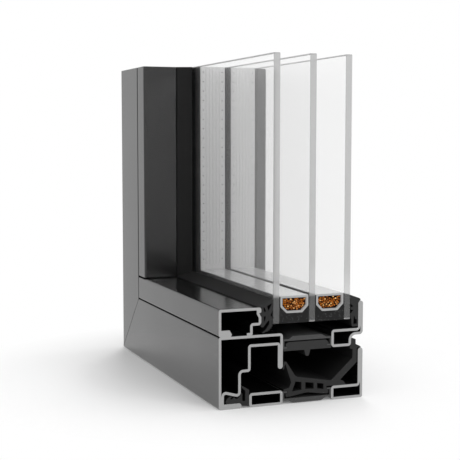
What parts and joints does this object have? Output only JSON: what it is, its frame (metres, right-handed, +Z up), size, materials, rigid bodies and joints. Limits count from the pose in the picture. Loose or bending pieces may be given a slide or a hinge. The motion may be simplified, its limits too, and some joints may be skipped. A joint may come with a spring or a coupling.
{
  "type": "window frame profile section",
  "caption": "Cut corner of a triple-glazed steel window: sash and frame profiles with insulating bars, gaskets, glazing bead and sealed glass unit.",
  "frame": {"origin": "middle of the footprint, on the floor under the rail", "axes": "+X from the room side to the weather side, +Y along the rail from the cut face to the corner, +Z up along the jamb"},
  "size_m": [0.0886, 0.196, 0.196],
  "materials": {
    "painted_steel": "satin grey coat, bright cut edges",
    "glass": "clear float glass",
    "gasket_rubber": "matt extruded rubber",
    "insulating_plastic": "matt glass-filled plastic",
    "insert_foam": "matt insulating insert",
    "spacer_metal": "mill finish with fine ribs",
    "edge_sealant": "matt sealant with pale specks",
    "desiccant": "small golden-brown beads"
  },
  "bodies": {
    "root": {"centre_gasket_jamb": "gasket_rubber", "centre_gasket_rail": "gasket_rubber", "desiccant_inner": "desiccant", "desiccant_outer": "desiccant", "edge_sealant_inner": "edge_sealant", "edge_sealant_outer": "edge_sealant", "frame_inner_jamb": "painted_steel", "frame_inner_rail": "painted_steel", "frame_insulating_bar_jamb": "insulating_plastic", "frame_insulating_bar_rail": "insulating_plastic", "frame_outer_jamb": "painted_steel", "frame_outer_rail": "painted_steel", "glazing_bead_jamb": "painted_steel", "glazing_bead_rail": "painted_steel", "inner_glazing_gasket_jamb": "gasket_rubber", "inner_glazing_gasket_rail": "gasket_rubber", "outer_glazing_gasket_jamb": "gasket_rubber", "outer_glazing_gasket_rail": "gasket_rubber", "pane_inner": "glass", "pane_middle": "glass", "pane_outer": "glass", "sash_bar_insert_jamb": "insert_foam", "sash_bar_insert_rail": "insert_foam", "sash_inner_jamb": "painted_steel", "sash_inner_rail": "painted_steel", "sash_insulating_bar_jamb": "insulating_plastic", "sash_insulating_bar_rail": "insulating_plastic", "sash_outer_jamb": "painted_steel", "sash_outer_rail": "painted_steel", "spacer_inner": "spacer_metal", "spacer_outer": "spacer_metal", "stop_gasket_jamb": "gasket_rubber", "stop_gasket_rail": "gasket_rubber"}
  },
  "joints": []
}
